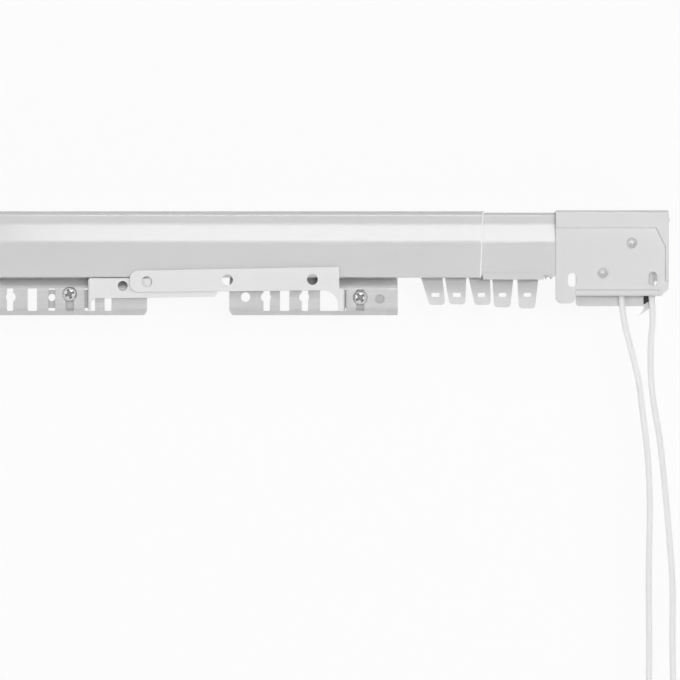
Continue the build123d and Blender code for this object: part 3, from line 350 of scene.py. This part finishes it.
def line_of(route, step):
    """Points a step apart along the smooth line that has the route's points as control points."""
    curve = bpy.data.curves.new("route", "CURVE")
    curve.dimensions = "3D"
    spline = curve.splines.new("NURBS")
    spline.points.add(len(route) - 1)
    for point, place in zip(spline.points, route):
        point.co = (*place, 1)
    spline.order_u = 3
    spline.use_endpoint_u = True
    curve.resolution_u = CURVE_RESOLUTION
    holder = bpy.data.objects.new("route", curve)
    mesh = bpy.data.meshes.new_from_object(holder)
    points = np.array([v.co for v in mesh.vertices])
    bpy.data.objects.remove(holder)
    along = np.r_[0, np.cumsum(np.linalg.norm(np.diff(points, axis=0), axis=1))]
    places = np.linspace(0, along[-1], int(along[-1] / step) + 1)
    return np.stack([np.interp(places, along, points[:, i]) for i in range(3)], axis=1), places


def frames_along(line):
    """Two directions square to the line at each point, turning as little as they can."""
    ways = np.gradient(line, axis=0)
    ways /= np.linalg.norm(ways, axis=1)[:, None]
    first = np.zeros_like(line)
    side = np.array((0.0, 1.0, 0.0))
    for number, way in enumerate(ways):
        side = side - way * (side @ way)
        side /= np.linalg.norm(side)
        first[number] = side
    return first, np.cross(ways, first)


def tube(centres, first, second, width, height, sides):
    """Vertices and faces of a tube whose section is an ellipse."""
    turns = np.linspace(0, 2 * pi, sides, endpoint=False)
    rings = (centres[:, None] + first[:, None] * (width * np.cos(turns))[None, :, None]
             + second[:, None] * (height * np.sin(turns))[None, :, None])
    faces = []
    for ring in range(len(centres) - 1):
        start = ring * sides
        for side in range(sides):
            after = (side + 1) % sides
            faces.append((start + side, start + after, start + sides + after, start + sides + side))
    last = (len(centres) - 1) * sides
    faces.append(tuple(range(sides - 1, -1, -1)))
    faces.append(tuple(range(last, last + sides)))
    return rings.reshape(-1, 3), faces


# Cord, in metres but for the swell of the braid over the solid, which is in millimetres
STRANDS_EACH_WAY = 8
BRAID_PITCH = 0.0128
STRAND_W, STRAND_H, STRAND_SWING = 0.00046, 0.00022, 0.00010
BRAID_STEP, BRAID_SWELL = 0.00025, 0.15
CORE_SIDES, STRAND_SIDES = 10, 6


def braid(name, route):
    """Round cord of strands that cross over and under each other on a core."""
    line, places = line_of(route, BRAID_STEP)
    first, second = frames_along(line)
    middle = (CORD_D / 2 + BRAID_SWELL) / 1000 - STRAND_H - STRAND_SWING
    turn = 2 * pi * places / BRAID_PITCH
    vertices, faces = tube(line, first, second, middle, middle, CORE_SIDES)
    for way in (1, -1):
        swing = middle + way * STRAND_SWING * np.cos(STRANDS_EACH_WAY * turn)
        for strand in range(STRANDS_EACH_WAY):
            angle = way * turn + 2 * pi * strand / STRANDS_EACH_WAY
            out = first * np.cos(angle)[:, None] + second * np.sin(angle)[:, None]
            centres = line + out * swing[:, None]
            ways = np.gradient(centres, axis=0)
            side = np.cross(ways, out)
            side /= np.linalg.norm(side, axis=1)[:, None]
            more, more_faces = tube(centres, side, out, STRAND_W, STRAND_H, STRAND_SIDES)
            faces += [tuple(len(vertices) + i for i in face) for face in more_faces]
            vertices = np.concatenate((vertices, more))
    return piece(name, vertices, faces, CORD), line


# The loop from the lower pulley's outlet down round the tension wheel and up to the other outlet:
# x, sideways from the pulleys' plane, z
LOOP = ((-22.35, 0, -10), (-21.88, 0, -18.99), (-17.9, 0.6, -34), (-13.6, 0.9, -51),
        (-11.9, 0.6, -67), (-9.4, 0.2, -86), (-8.3, -0.2, -112), (-9.2, -0.1, -146),
        (-8.7, 0, -180), (-9.1, 0, -202), (-9.0, 0, -215.46), (-3.0, 0, -218.93),
        (3.0, 0, -215.46), (3.1, 0, -202), (2.4, 0, -180), (2.9, 0.3, -150), (0.6, 0.7, -121),
        (-1.6, 0.5, -97), (-3.7, 0, -78), (-6.9, -0.5, -61), (-8.3, -0.7, -46),
        (-8.1, -0.3, -31), (-6.75, 0, -18.0), (-7.62, 0, -10))

loop, loop_line = braid("cord_loop", [at(x, CORD_DEPTH + y, z) for x, y, z in LOOP])
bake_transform(loop)
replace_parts(loop, "cord_hanging_loop")

# The rest of the cord, over both pulleys and round the idler inside the rod: x, z
INSIDE = ((-22.35, -10), (-22.95, 1.5), (-23.2, 6.26), (-28.4, 11.2), (-32, 11.2), (-440, 11.2),
          (-446, 11.2), (-450.3, 15.5), (-450.3, 21.5), (-446, 25.8), (-440, 25.8), (-20, 25.8),
          (-14.2, 25.8), (-9, 20.8), (-8.8, 16), (-7.62, -10))
inner_cord, _ = braid("cord_in_rod", [at(x, CORD_DEPTH, z) for x, z in INSIDE])
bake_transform(inner_cord)
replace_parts(inner_cord, "cord_lower_run", "cord_upper_run", "cord_lower_drop", "cord_upper_drop",
            "cord_idler_turn")


# Rolled edge of the outer section's mouth, in enamel lighter than the rod's as a painted highlight:
# y, z round the section, following its raked end
MOUTH, MOUTH_RAKE, ROD_H = 91.5, 1.5, 32.5
MOUTH_EDGE = ((12.0, 0.1), (2.0, 0.1), (0.75, 0.35), (0.2, 1.2), (0.15, 2.5), (0.15, 15.8),
              (0.2, 17.2), (2.1, 26.0), (2.3, 27.4), (2.3, 29.6), (2.6, 31.2), (3.7, 32.2),
              (5.0, 32.4), (12.0, 32.4))
BEAD_W, BEAD_H, BEAD_IN, BEAD_STEP, BEAD_SIDES = 0.00036, 0.00032, 0.25, 0.0003, 12


def mouth_bead():
    """Thin rod along the edge, a quarter millimetre inside it."""
    corners = [at(-MOUTH + MOUTH_RAKE * z / ROD_H - BEAD_IN, y, z) for y, z in MOUTH_EDGE]
    line, _ = line_of(corners, BEAD_STEP)
    first, second = frames_along(line)
    vertices, faces = tube(line, first, second, BEAD_H, BEAD_W, BEAD_SIDES)
    bead = piece("mouth_bead", vertices, faces, BEAD)
    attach(bead, "left_section")


mouth_bead()


# Cross-recess screws that clamp the arms, in millimetres
SCREW_HEAD_R, SCREW_HEAD_T, SCREW_SHANK_R, SCREW_LENGTH = 3.65, 2.2, 1.7, 6.0
SCREW_SEAT, SCREW_TIP_R = 4.0, 0.02
CROWN_FLATNESS, CROWN_ROUNDNESS = 2.6, 0.55
RECESS_HALF, RECESS_REACH, RECESS_DEPTH, RECESS_WALL = 0.50, 2.75, 1.25, 0.22
RECESS_CORE, RECESS_DARK, RECESS_ENDS, CORE_WALL = 1.45, 0.35, 1.0, 0.6
THREAD_PITCH, THREAD_DEPTH, THREAD_START, THREAD_ROWS = 0.8, 0.3, 0.5, 8
RINGS, SPOKES = 40, 128


def rise(value, width):
    """0 below 0 and 1 above the width, with a smooth rise between them."""
    share = np.clip(value / width, 0, 1)
    return share * share * (3 - 2 * share)


def screw(name, x, z, turn, body):
    """Pan head with a tapered cross recess, turned by degrees, and a threaded shank behind it."""
    angles = np.linspace(0, 2 * pi, SPOKES, endpoint=False)
    rows, dark = [], []
    for share in np.linspace(0, 1, RINGS):
        radius = SCREW_HEAD_R * share
        u = radius * np.cos(angles - radians(turn))
        v = radius * np.sin(angles - radians(turn))
        crown = SCREW_HEAD_T * (1 - share ** CROWN_FLATNESS) ** CROWN_ROUNDNESS
        arms = [rise(RECESS_HALF + RECESS_WALL - abs(across), RECESS_WALL)
                * rise(RECESS_REACH - abs(along), RECESS_ENDS)
                for across, along in ((v, u), (u, v))]
        core = rise(RECESS_CORE - radius, CORE_WALL)
        sunk = np.maximum(np.maximum(*arms), core)
        rows.append((np.full(SPOKES, radius), crown - RECESS_DEPTH * sunk))
        dark.append(sunk > RECESS_DARK)
    for depth in np.arange(0, SCREW_LENGTH, THREAD_PITCH / THREAD_ROWS):
        phase = (depth / THREAD_PITCH + angles / (2 * pi)) % 1
        thread = SCREW_SHANK_R - THREAD_DEPTH * abs(2 * phase - 1) * rise(depth, THREAD_START)
        rows.append((thread, np.full(SPOKES, -depth)))
    rows.append((np.full(SPOKES, SCREW_TIP_R), np.full(SPOKES, -SCREW_LENGTH)))
    vertices = [at(x + r * cos(a), SCREW_SEAT - h, z + r * sin(a))
                for radii, heights in rows for r, h, a in zip(radii, heights, angles)]
    faces = [(row * SPOKES + i, row * SPOKES + (i + 1) % SPOKES,
              (row + 1) * SPOKES + (i + 1) % SPOKES, (row + 1) * SPOKES + i)
             for row in range(len(rows) - 1) for i in range(SPOKES)]
    made = piece(name, vertices, faces, SCREW)
    made.data.materials.append(RECESS)
    # Faces deep in the cross recess take the darker finish, a painted shade in the recess
    for face in made.data.polygons:
        corners = [divmod(vertex, SPOKES) for vertex in face.vertices]
        face.material_index = int(all(row < RINGS and dark[row][i] for row, i in corners))
    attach(made, body)
    return made


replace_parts(screw("right_cross_screw", -150.4, -9.75, 35, "right_master"), "right_arm_screw")
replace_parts(screw("left_cross_screw", -292.4, -8.0, 20, "left_master"), "left_arm_screw")


# Black pad on the lug of the cord guide, a painted shade where the guide's hollow lies in shadow:
# x, z of its outline
SHADE_PAD_OUTLINE = ((-11.4, -8.4), (-6.5, -8.4), (-7.1, -9.6), (-7.8, -11.2), (-9.5, -11.6), (-10.7, -12.9),
         (-11.4, -12.9))
SHADE_PAD_FRONT, SHADE_PAD_BACK, SHADE_PAD_ROUND, SHADE_PAD_SEGMENTS = 9.3, 10.0, 0.25, 3


def guide_shade_pad():
    """Flat pad whose front edge is rounded."""
    mesh = bmesh.new()
    back = [mesh.verts.new(at(x, SHADE_PAD_BACK, z)) for x, z in SHADE_PAD_OUTLINE]
    front = [mesh.verts.new(at(x, SHADE_PAD_FRONT, z)) for x, z in SHADE_PAD_OUTLINE]
    mesh.faces.new(back)
    face = mesh.faces.new(front[::-1])
    for i in range(len(SHADE_PAD_OUTLINE)):
        after = (i + 1) % len(SHADE_PAD_OUTLINE)
        mesh.faces.new((back[after], back[i], front[i], front[after]))
    bmesh.ops.bevel(mesh, geom=list(face.edges), offset=SHADE_PAD_ROUND / 1000,
                    segments=SHADE_PAD_SEGMENTS, affect="EDGES", profile=0.5)
    bmesh.ops.recalc_face_normals(mesh, faces=mesh.faces)
    made = piece("guide_shade_pad", [], [], SHADE_BLACK)
    mesh.to_mesh(made.data)
    mesh.free()
    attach(made, "right_end")


guide_shade_pad()


# Spring that pulls the tension wheel down, between the stem's collar and the cup's top
SPRING_X, SPRING_FOOT, SPRING_TOP = -3.0, -254.9, -235.2
SPRING_R, SPRING_WIRE, SPRING_TURNS, SPRING_CLOSED = 4.1, 0.45, 8, 1.0
SPRING_GAP, SPRING_TRAVEL, SPRING_COIL_GAP = 0.03, 8.0, 0.1
SPRING_STEPS, SPRING_SIDES = 48, 10


def tension_spring():
    """Helix with closed ends, of one fixed length that does not shorten as the wheel is drawn up.
    """
    turns = np.linspace(0, SPRING_TURNS, SPRING_TURNS * SPRING_STEPS + 1)
    low, high = SPRING_FOOT + SPRING_WIRE + SPRING_GAP, SPRING_TOP - SPRING_WIRE - SPRING_GAP
    ends = 2 * SPRING_WIRE + SPRING_COIL_GAP
    heights = np.interp(turns, (0, SPRING_CLOSED, SPRING_TURNS - SPRING_CLOSED, SPRING_TURNS),
                        (low, low + ends, high - ends, high))
    angles = 2 * pi * turns
    line = np.array([at(SPRING_X + SPRING_R * cos(a), CORD_DEPTH + SPRING_R * sin(a), z)
                     for a, z in zip(angles, heights)])
    out = np.stack((np.cos(angles), np.sin(angles), np.zeros_like(angles)), axis=1)
    up = np.tile((0.0, 0.0, 1.0), (len(line), 1))
    wire = SPRING_WIRE / 1000
    vertices, faces = tube(line, out, up, wire, wire, SPRING_SIDES)
    spring = piece("helical_spring", vertices, faces, METAL)
    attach(spring, "right_end")
    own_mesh(spring)
    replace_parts(spring, "tension_spring")


tension_spring()


# Stage: a white wall that the rod hangs on, running down into a floor
FLOOR_Z, WALL_Y, WALL_TOP, STAGE_WIDTH, STAGE_DEPTH = -0.36, 0.0008, 1.6, 4.0, 3.6
SWEEP_R, SWEEP_STEPS = 0.12, 12
WALL_WHITE, SHADOW_SHARE = 0.92, 0.10


def sweep():
    """Wall and floor in one sheet that is round between them."""
    profile = [(-STAGE_DEPTH, FLOOR_Z)]
    for number in range(SWEEP_STEPS + 1):
        angle = radians(90 * number / SWEEP_STEPS)
        height = FLOOR_Z + SWEEP_R * (1 - cos(angle))
        profile.append((WALL_Y - SWEEP_R + SWEEP_R * sin(angle), height))
    profile.append((WALL_Y, WALL_TOP))
    centre = at(-ROD_LENGTH / 2, 0, 0).x
    vertices = [(centre + side * STAGE_WIDTH / 2, y, z) for y, z in profile for side in (-1, 1)]
    faces = [(2 * i, 2 * i + 1, 2 * i + 3, 2 * i + 2) for i in range(len(profile) - 1)]
    return piece("backdrop", vertices, faces, backdrop_look())


def seen(tree):
    """1 for rays from the camera, a mirror reflection or a clear body, and 0 for the light's."""
    path = tree.add("ShaderNodeLightPath")
    shown = tree.math("MAXIMUM", path.outputs["Is Camera Ray"], path.outputs["Is Glossy Ray"])
    return path, tree.math("MAXIMUM", shown, path.outputs["Is Transmission Ray"])


def backdrop_look():
    """White to the camera but for the object's shadow, and clear from behind."""
    made, tree, shader = material("backdrop_white")
    path, shown = seen(tree)
    plain = tree.add("ShaderNodeBsdfDiffuse", Color=grey(WALL_WHITE)).outputs[0]
    glow = tree.add("ShaderNodeEmission", Color=grey(1.0), Strength=1.0).outputs[0]
    pale = tree.add("ShaderNodeMixShader", _0=SHADOW_SHARE, _1=glow, _2=plain).outputs[0]
    surface = tree.add("ShaderNodeMixShader", _0=shown, _1=plain, _2=pale).outputs[0]
    back = tree.add("ShaderNodeNewGeometry").outputs["Backfacing"]
    gone = tree.math("MULTIPLY", back, path.outputs["Is Camera Ray"])
    clear = tree.add("ShaderNodeBsdfTransparent").outputs[0]
    both = tree.add("ShaderNodeMixShader", _0=gone, _1=surface, _2=clear).outputs[0]
    tree.put(made.node_tree.nodes["Material Output"], "Surface", both)
    made.node_tree.nodes.remove(shader)
    return made


backdrop = sweep()


# Light
def lamp(name, place, target, size, height, power, glare=True, glow=True):
    """Area lamp: its glare is what surfaces mirror of it, and its glow what they scatter."""
    light = bpy.data.lights.new(name, "AREA")
    light.shape, light.size, light.size_y, light.energy = "RECTANGLE", size, height, power
    made = bpy.data.objects.new(name, light)
    bpy.context.scene.collection.objects.link(made)
    made.location = place
    made.rotation_euler = (target - place).to_track_quat("-Z", "Y").to_euler()
    made.visible_glossy, made.visible_diffuse = glare, glow


# The softbox stands where the rod's leaning brow mirrors it to the camera
scene_middle = at(middle_x, 0, 20)
MIRROR_ANGLE, SOFTBOX_FAR = radians(25.2), 0.62
SOFTBOX_SIZE, SOFTBOX_GLARE, SOFTBOX_GLOW = (0.5, 0.11), 1.15, 0.95
softbox_target = scene_middle + Vector((0.03, 0, 0))
softbox_way = Vector((0, -cos(MIRROR_ANGLE), sin(MIRROR_ANGLE)))
softbox_place = softbox_target + softbox_way * SOFTBOX_FAR
lamp("softbox", softbox_place, softbox_target, *SOFTBOX_SIZE, SOFTBOX_GLARE, glow=False)
lamp("soft_fill", softbox_place, softbox_target, *SOFTBOX_SIZE, SOFTBOX_GLOW, glare=False)

# Lamps at both sides of the camera, a glare-free one beside it, and light thrown up from below
FRONT_SIZE, FRONT_POWER, FILL_POWER = 0.3, 2.0, 13.6
BOUNCE_SIZE, BOUNCE_POWER = (0.7, 0.12), 1.0
for name, away in (("front_right", (0.52, -1.4, 0.08)), ("front_left", (-0.85, -1.4, 0.08))):
    lamp(name, scene_middle + Vector(away), scene_middle, FRONT_SIZE, FRONT_SIZE, FRONT_POWER)
lamp("front_fill", scene_middle + Vector((0.25, -2.0, 0.03)), scene_middle, FRONT_SIZE, FRONT_SIZE,
     FILL_POWER, glare=False)
lamp("table_bounce", scene_middle + Vector((0.1, -0.8, -0.8)), scene_middle, *BOUNCE_SIZE,
     BOUNCE_POWER)

AMBIENT = 0.20
world = bpy.data.worlds.new("studio")
bpy.context.scene.world = world
sky = Tree(world)
ambient = sky.add("ShaderNodeBackground", Color=grey(1.0), Strength=AMBIENT).outputs[0]
white = sky.add("ShaderNodeBackground", Color=grey(1.0), Strength=1.0).outputs[0]
_, sky_seen = seen(sky)
both = sky.add("ShaderNodeMixShader", _0=sky_seen, _1=ambient, _2=white).outputs[0]
sky.put(world.node_tree.nodes["World Output"], "Surface", both)
bpy.context.scene.view_settings.view_transform = "Standard"
